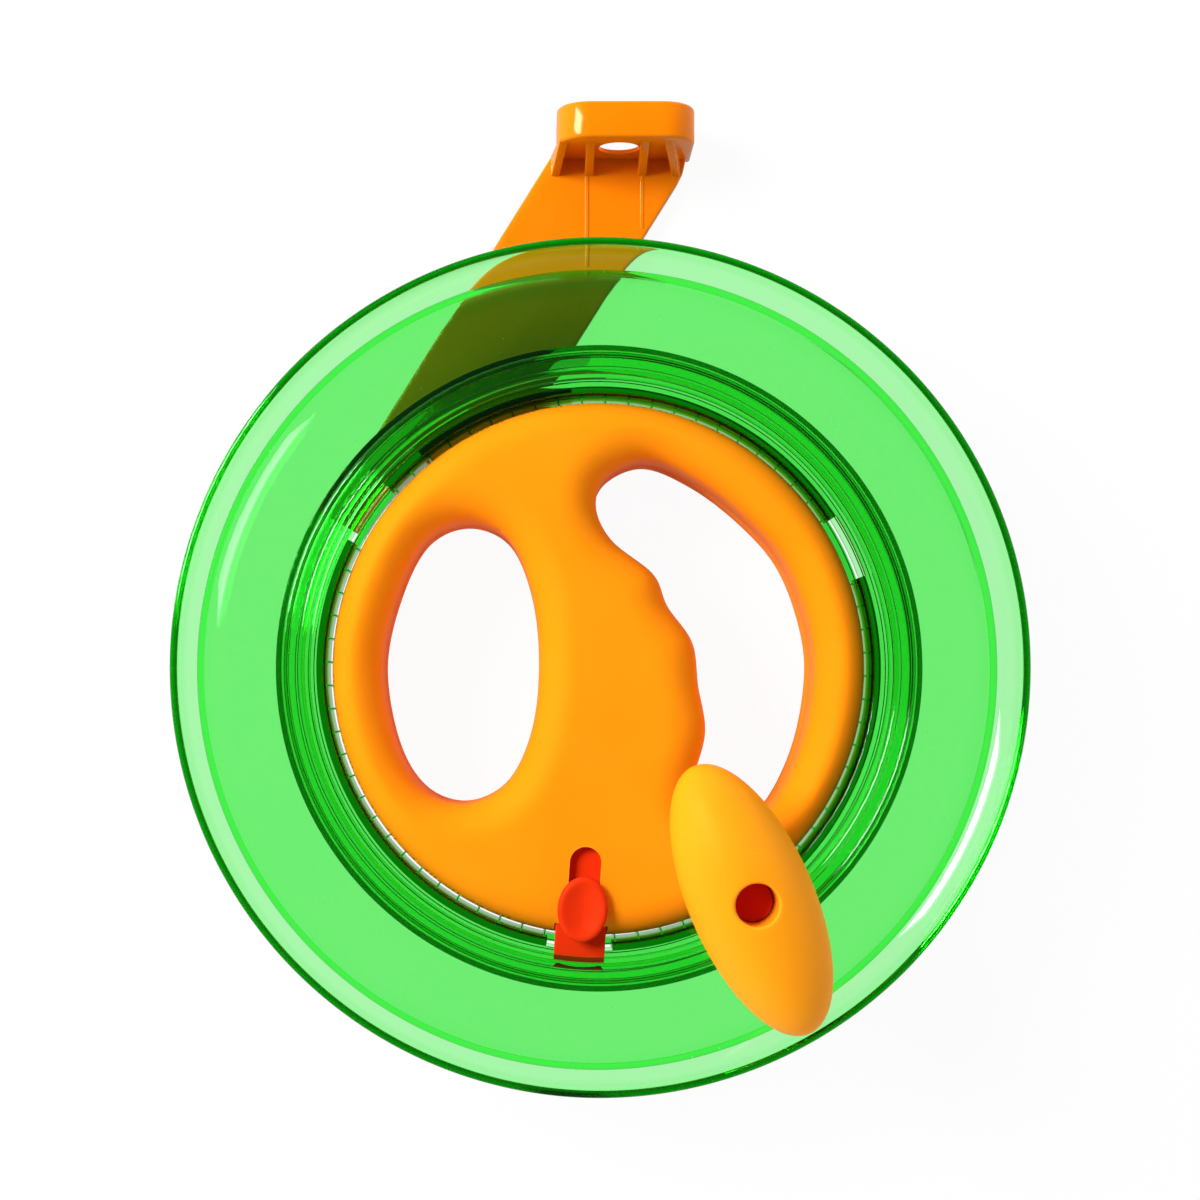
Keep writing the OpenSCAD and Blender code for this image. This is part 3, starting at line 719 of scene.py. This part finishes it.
# Spool
# Three mouldings in clear green plastic, welded to one another: a hub with a drum, a web and a collar of
# thin ribs that run on the wheel, and two flanges with flared rims. The front one carries the knob's ear.
def clear_green_plastic(name, dye, density):
    """Polished clear plastic, dyed in its depth, with a few bubbles, scratches and a faint ripple."""
    bubble_size, bubble_haze, scratch_haze, polish = 0.035, 0.3, 0.16, 0.015
    # painted shade: the colour that light passing the green takes on, dimmed most in green, not the
    # plastic's own colour
    shade_cast = (1.0, 0.69, 0.96, 1)
    material, tree, skin = new_material(name)
    scales = {"Grain Scale": 420.0, "Drift Scale": 36.0}
    grain = add_node(tree, "ShaderNodeGroup", scales, node_tree=mould_grain)
    scales = {"Scratch Scale": 60.0, "Smudge Scale": 40.0}
    marks = add_node(tree, "ShaderNodeGroup", scales, node_tree=scuffs)
    where = add_node(tree, "ShaderNodeTexCoord").outputs["Object"]
    bubbles = add_node(tree, "ShaderNodeTexVoronoi", {"Vector": where, "Scale": 150.0, "Randomness": 1.0})
    speck = math_node(tree, "LESS_THAN", bubbles.outputs["Distance"], bubble_size)
    tone = mix_colours(tree, grain.outputs["Drift"], (0.93, 1.0, 0.93, 1), (0.98, 1.0, 0.97, 1))
    tree.links.new(tone, skin.inputs["Base Color"])
    scratch = math_node(tree, "MULTIPLY", marks.outputs["Scratch"], scratch_haze)
    haze = math_node(tree, "ADD", math_node(tree, "MULTIPLY", speck, bubble_haze), scratch)
    tree.links.new(math_node(tree, "ADD", haze, polish), skin.inputs["Roughness"])
    grain_bump(tree, skin, grain, 0.006, 0.0001)
    skin.inputs["Transmission Weight"].default_value = 1.0
    skin.inputs["IOR"].default_value = 1.46
    # light on its way to other surfaces goes straight through and is dimmed by the shade cast, most in
    # green, which the plastic itself passes best: painted shade that darkens what lies under the green and
    # turns orange there olive
    path = add_node(tree, "ShaderNodeLightPath")
    lights = math_node(tree, "MAXIMUM", path.outputs["Is Shadow Ray"], path.outputs["Is Diffuse Ray"])
    through = add_node(tree, "ShaderNodeBsdfTransparent", {"Color": shade_cast})
    shares = {0: lights, 1: skin.outputs["BSDF"], 2: through.outputs["BSDF"]}
    mixed = add_node(tree, "ShaderNodeMixShader", shares)
    depth = add_node(tree, "ShaderNodeVolumeAbsorption", {"Color": dye, "Density": density})
    output = tree.nodes["Material Output"]
    tree.links.new(mixed.outputs["Shader"], output.inputs["Surface"])
    tree.links.new(depth.outputs["Volume"], output.inputs["Volume"])
    return material


clear_green = clear_green_plastic("clear_green", dye=(0.07, 0.994, 0.12, 1), density=430.0)
# the hub's green is dyed deeper and denser than the flanges' green as painted shade, which darkens the hub
painted_shade_green = clear_green_plastic("painted_shade_green", dye=(0.0, 0.88, 0.06, 1), density=650.0)

# the hub, in the darker green that is painted shade: its deeper dye stands in for the shade that falls round
# the hub
front_z, rear_z = 36.0, 16.0
drum_out, drum_in = 84.0, 82.0
collar_out, collar_in = 74.0, 72.0
collar_low = 12.1
web_low, web_high = 31.0, 33.0
weld_gap = 0.02
drum_round, web_round = 0.3, 0.5
rib_low, rib_high = 17.1, 29.1
rib_tip = 67.58
rib_half = 0.22
rib_count = 72
rib_faces = ((3, 2, 1, 0), (4, 5, 6, 7), (0, 1, 5, 4), (1, 2, 6, 5), (2, 3, 7, 6), (3, 0, 4, 7))
window_half = 6.75
window_count = 3
hub_steps = 480
turned_sharp, turned_weld = 40, 0.0002


def round_profile(points, n=5):
    """A closed profile of (radius, level, corner rounding) turned into points."""
    out = []
    for k, (r, z, corner) in enumerate(points):
        here = Vector((r, z))
        if not corner:
            out.append((r, z))
            continue
        to_last = (Vector(points[k - 1][:2]) - here).normalized()
        to_next = (Vector(points[(k + 1) % len(points)][:2]) - here).normalized()
        half = to_last.angle(to_next) / 2
        reach = corner / math.tan(half)
        middle = here + (to_last + to_next).normalized() * corner / math.sin(half)
        a = here + to_last * reach - middle
        b = here + to_next * reach - middle
        sweep = a.angle(b)
        for j in range(n + 1):
            t = j / n
            p = (a * math.sin((1 - t) * sweep) + b * math.sin(t * sweep)) / math.sin(sweep)
            out.append(tuple(middle + p))
    return out


def lathe_points(profile, steps, start=0.0):
    turn = [start + 2 * math.pi * k / steps for k in range(steps)]
    return [(r * math.cos(a), r * math.sin(a), z) for a in turn for r, z in profile]


def lathe_quad(step, j, k, steps, size):
    here, there = step * size, (step + 1) % steps * size
    return here + j, there + j, there + k, here + k


def rib_verts(degrees):
    turn = Matrix.Rotation(math.radians(lock_angle + degrees), 4, "Z")
    outline = bar_outline(rib_tip, collar_in - weld_gap, rib_half)
    return [tuple(turn @ Vector((r, y, z))) for z in (rib_low, rib_high) for r, y in outline]


def hub_mesh():
    """Drum, web and collar turned in one, the collar left out at its windows, and the ribs inside it."""
    front, rear = front_z - weld_gap, rear_z + weld_gap
    profile = round_profile([
        (drum_out, rear, drum_round), (drum_out, front, drum_round), (drum_in, front, drum_round),
        (drum_in, web_high, web_round), (collar_out, web_high, 0), (collar_in, web_high, web_round),
        (collar_in, rib_low, 0), (collar_in, collar_low, web_round), (collar_out, collar_low, web_round),
        (collar_out, rib_low, 0), (collar_out, web_low, 0), (drum_in, web_low, web_round),
        (drum_in, rear, drum_round)])
    n, m = hub_steps, len(profile)
    top_out, foot_in = profile.index((collar_out, web_high)), profile.index((collar_in, rib_low))
    foot_out, web_under = profile.index((collar_out, rib_low)), profile.index((collar_out, web_low))
    jamb = list(range(top_out, foot_in + 1)) + [foot_out, web_under]
    window_of = n // window_count
    half = round(window_half / 360 * n)
    verts, faces = lathe_points(profile, n, math.radians(lock_angle)), []
    for i in range(n):
        open_here = (i + half) % window_of < 2 * half
        for j in range(m):
            if not (open_here and (top_out <= j < foot_in or j == foot_out)):
                faces.append(lathe_quad(i, j, (j + 1) % m, n, m))
        if open_here:
            faces += [lathe_quad(i, top_out, web_under, n, m), lathe_quad(i, foot_in, foot_out, n, m)]
        if (i + half) % window_of in (0, 2 * half):
            faces.append([i * m + j for j in jamb])
    between = 360 / window_count
    for k in range(rib_count):
        at = 360 / rib_count * (k + 0.5)
        if abs((at + between / 2) % between - between / 2) < window_half:
            continue
        start = len(verts)
        verts += rib_verts(at)
        faces += [[start + i for i in face] for face in rib_faces]
    return new_piece("spool_hub", verts, faces, turned_sharp, turned_weld)


hub = hub_mesh()
settle(hub, painted_shade_green, "spool", "hub")

# the flanges, each turned from the same profile
green_wall = 2.0
flange_in, flange_edge = 75.0, 0.3
flare_r, flare_z = 101.0, 9.0
flare_out, flare_in = 9.0, 7.0
rim_middle, rim_edge = 109.0, 1.0
ridge_spots = (81.4, 77.3)
ridge_r = 1.0
lathe_steps = 360


def bow(r, z, radius, turn):
    return [(r + radius * math.cos(a), z + radius * math.sin(a)) for a in turn]


def flange_profile():
    """A flange in its own frame: the winding face at level 0 and the rim flared up, as (radius, level)."""
    turn = np.linspace(0, math.pi / 2, 19)
    points = [(flange_in + flange_edge, 0.0)]
    points += [(flare_r + flare_out * math.sin(a), flare_z - flare_out * math.cos(a)) for a in turn]
    points += bow(rim_middle, flare_z, rim_edge, np.linspace(0, math.pi, 11)[1:-1])
    points += [(flare_r + flare_in * math.cos(a), flare_z - flare_in * math.sin(a)) for a in turn]
    for r in ridge_spots:
        points += bow(r, green_wall, ridge_r, np.linspace(0, math.pi, 13))
    points += [(flange_in + flange_edge, green_wall), (flange_in, green_wall - flange_edge)]
    return points + [(flange_in, flange_edge)]


def turned_piece(name, profile):
    n, m = lathe_steps, len(profile)
    verts = lathe_points(profile, n)
    faces = [lathe_quad(i, j, (j + 1) % m, n, m) for i in range(n) for j in range(m)]
    return new_piece(name, verts, faces, turned_sharp, turned_weld)


rear_flange = turned_piece("spool_rear_flange", [(r, rear_z - z) for r, z in flange_profile()])
front_flange = turned_piece("spool_front_flange", [(r, front_z + z) for r, z in flange_profile()])

# the ear for the knob's axle stands on the front flange
ear_turn = Matrix.Rotation(math.radians(-57.5), 4, "Z")
axle_r = 68.5
ear_low, ear_high = 41.5, 46.2
ear_round = 6.5
tab_half = 5.5
post_in, post_out, post_half = 78.6, 83.0, 4.5
post_low, post_high = 37.0, 43.85
ear_bore_r = 1.6
below_ear, above_ear = 40, 48
neck_angle = math.asin(tab_half / ear_round)
around = np.linspace(neck_angle, 2 * math.pi - neck_angle, 48)
ear_outline = [(axle_r + ear_round * math.cos(a), ear_round * math.sin(a)) for a in around]
ear_outline += [(drum_out, -tab_half), (drum_out, tab_half)]
ear = plate("knob_ear", ear_outline, ear_low, ear_high, edge=0.4, place=ear_turn)
ear_post = plate("ear_post", bar_outline(post_in, post_out, post_half), post_low, post_high, place=ear_turn)
merge(ear, [ear_post], "UNION")
ear_bore = plate("ear_bore", circle_loop(ear_bore_r, 32, (axle_r, 0)), below_ear, above_ear, place=ear_turn)
ear_recess = plate("ear_recess", circle_loop(head_room, 40, (axle_r, 0)), below_ear, ear_low + head_sink,
                   place=ear_turn)
merge(ear, [ear_bore, ear_recess], "DIFFERENCE")
merge(front_flange, [ear], "UNION", turned_sharp)
settle(rear_flange, clear_green, "spool", "rear_flange")
settle(front_flange, clear_green, "spool", "front_flange")


# Crank knob
# A long egg of orange plastic with a round recess in its middle, which turns on a red axle. The axle's
# head sits at the bottom of the recess, and a screw holds the axle from behind the ear.
knob_orange = satin_plastic("knob_orange", colour=(1.0, 0.345, 0.008, 1), deep=(0.98, 0.325, 0.007, 1),
                            pale=(1.0, 0.5, 0.09, 1), roughness=0.42, grain_depth=0.00005, gloss=0.16,
                            tint=(1.0, 0.62, 0.2, 1))
knob_long, knob_half = 36.0, 15.5
knob_x, knob_y, knob_z = 36.805, -57.772, 62.2
knob_turn = math.radians(-66.6)
recess_r = 5.25
recess_floor = 63.4
bore_r = 3.58
recess_edge, bore_edge = 0.7, 0.4
knob_steps = 192
knob_rows = 30


def egg_row(r0, share, sign):
    """A row on the egg, from a circle of radius r0 at share 0 to its widest outline at share 1."""
    row = []
    for k in range(knob_steps):
        a = 2 * math.pi * k / knob_steps
        edge = Vector((knob_long * math.cos(a), knob_half * math.sin(a)))
        reach = edge.length
        at = r0 + (reach - r0) * share
        height = knob_half * math.sqrt(max(0, 1 - (at / reach) ** 2))
        row.append((edge.x / reach * at, edge.y / reach * at, sign * height))
    return row


def hole_edge(r, round_off, sign, n=5):
    """Rows that roll from the egg's skin over the edge of a round hole of radius r."""
    skin = egg_row(r + round_off, 0, sign)
    rows = []
    for k in range(1, n + 1):
        a = math.pi / 2 * k / n
        at = r + round_off * (1 - math.sin(a))
        down = sign * round_off * (1 - math.cos(a))
        rows.append([(x * at / (r + round_off), y * at / (r + round_off), z - down) for x, y, z in skin])
    return rows


def knob_mesh():
    """The egg in rows from the floor of its recess, over its top and round below to the axle's bore."""
    shares = [math.sin(math.pi / 2 * k / knob_rows) for k in range(knob_rows + 1)]
    ring = [(x / math.hypot(x, y), y / math.hypot(x, y)) for x, y, _ in egg_row(1, 0, 1)]
    rows = [[(r * x, r * y, recess_floor - knob_z) for x, y in ring] for r in (bore_r, recess_r)]
    rows += hole_edge(recess_r, recess_edge, 1)[::-1]
    rows += [egg_row(recess_r + recess_edge, s, 1) for s in shares]
    rows += [egg_row(bore_r + bore_edge, s, -1) for s in shares[-2::-1]]
    rows += hole_edge(bore_r, bore_edge, -1)
    rows.append(rows[0])
    verts, faces = [], []
    band(verts, faces, rows)
    place = Matrix.Translation((knob_x, knob_y, knob_z)) @ Matrix.Rotation(knob_turn, 4, "Z")
    return new_piece("crank_knob", [tuple(place @ Vector(v)) for v in verts], faces, 45)


knob = knob_mesh()
settle(knob, knob_orange, "knob", "knob")
dress("knob_axle", red_satin)


# Floor, light and camera
# A white table under one softbox from the upper left, as in a catalogue picture, with white card all
# round. The camera looks straight down on the reel as it lies on its back.
def white_table():
    """A table that looks white to the camera and through the green, and dimmer where it is mirrored."""
    seen_share, through_share, mirror_share = 0.95, 0.96, 0.85
    mirror_loss = 0.55
    material, tree, skin = new_material("white_table")
    scales = {"Grain Scale": 500.0, "Drift Scale": 6.0}
    grain = add_node(tree, "ShaderNodeGroup", scales, node_tree=mould_grain)
    tone = mix_colours(tree, grain.outputs["Drift"], (0.90, 0.90, 0.90, 1), (0.93, 0.93, 0.93, 1))
    tree.links.new(tone, skin.inputs["Base Color"])
    skin.inputs["Roughness"].default_value = 0.9
    skin.inputs["Specular IOR Level"].default_value = 0.1
    path = add_node(tree, "ShaderNodeLightPath")
    bent = path.outputs["Is Transmission Ray"]
    seen = math_node(tree, "MULTIPLY", path.outputs["Is Camera Ray"], seen_share)
    through = math_node(tree, "MULTIPLY", bent, through_share)
    reflected = math_node(tree, "SUBTRACT", path.outputs["Is Glossy Ray"], bent, clamp=True)
    mirrored = math_node(tree, "MULTIPLY", reflected, mirror_share)
    dimmed = math_node(tree, "MULTIPLY_ADD", reflected, -mirror_loss, 1.0)
    glow = add_node(tree, "ShaderNodeEmission", {"Color": (1, 1, 1, 1), "Strength": dimmed})
    share = math_node(tree, "MAXIMUM", seen, math_node(tree, "MAXIMUM", mirrored, through))
    shaders = {0: share, 1: skin.outputs["BSDF"], 2: glow.outputs["Emission"]}
    mixed = add_node(tree, "ShaderNodeMixShader", shaders)
    tree.links.new(mixed.outputs["Shader"], tree.nodes["Material Output"].inputs["Surface"])
    return material


table_half = 3000
table_z = -0.3
table_corners = [(-table_half, -table_half), (table_half, -table_half), (table_half, table_half),
                 (-table_half, table_half)]
floor = new_piece("table_top", level(table_corners, table_z), [(0, 1, 2, 3)])
floor.data.materials.append(white_table())

# the card is bright near the table and dark overhead, and plain white behind the table for the camera
overhead, card_light, card_shine = 0.06, 2.3, 0.4
world = bpy.data.worlds.new("white_card")
bpy.context.scene.world = world
world.use_nodes = True
sky = world.node_tree
path = add_node(sky, "ShaderNodeLightPath").outputs
way = add_node(sky, "ShaderNodeTexCoord").outputs["Generated"]
height = add_node(sky, "ShaderNodeSeparateXYZ", {"Vector": way}).outputs["Z"]
low = math_node(sky, "SUBTRACT", 1.0, math_node(sky, "ABSOLUTE", height), clamp=True)
toward_floor = math_node(sky, "POWER", low, 2.0)
lit = math_node(sky, "MULTIPLY_ADD", toward_floor, card_light, overhead)
shine = math_node(sky, "MULTIPLY_ADD", toward_floor, card_shine, overhead)
shown = math_node(sky, "MAXIMUM", path["Is Glossy Ray"], path["Is Transmission Ray"])
card = add_node(sky, "ShaderNodeMix", {"Factor": shown, "A": lit, "B": shine}).outputs["Result"]
white = add_node(sky, "ShaderNodeMix", {"Factor": path["Is Camera Ray"], "A": card, "B": 1.0})
background = sky.nodes["Background"]
background.inputs["Color"].default_value = (1, 1, 1, 1)
sky.links.new(white.outputs["Result"], background.inputs["Strength"])

key_azimuth, key_elevation = math.radians(153), math.radians(44)
key_distance = 1.3
key_light = bpy.data.lights.new("key_softbox", "AREA")
key_light.shape = "RECTANGLE"
key_light.size = 0.5
key_light.size_y = 0.55
key_light.energy = 20.5
key_side = math.cos(key_elevation)
toward_key = Vector((key_side * math.cos(key_azimuth), key_side * math.sin(key_azimuth),
                     math.sin(key_elevation)))
key = bpy.data.objects.new("key_softbox", key_light)
key.location = toward_key * key_distance
key.rotation_euler = toward_key.to_track_quat("Z", "Y").to_euler()
bpy.context.scene.collection.objects.link(key)

# the shifts are counted in pixels of a picture 1200 wide
picture = 1200
camera_data = bpy.data.cameras.new("camera")
camera_data.sensor_width = 36
camera_data.lens = 61.52
camera_data.shift_x = 64 / picture
camera_data.shift_y = 113 / picture
camera = bpy.data.objects.new("camera", camera_data)
camera.location = Vector((-16.4, -11.6, 569)) * MM
bpy.context.scene.collection.objects.link(camera)
bpy.context.scene.camera = camera
bpy.context.scene.view_settings.view_transform = "Standard"

# light runs far round inside the clear rims, and would turn black there with fewer bounces
bpy.context.scene.cycles.glossy_bounces = 16
bpy.context.scene.cycles.transmission_bounces = 20
bpy.context.scene.cycles.max_bounces = 24
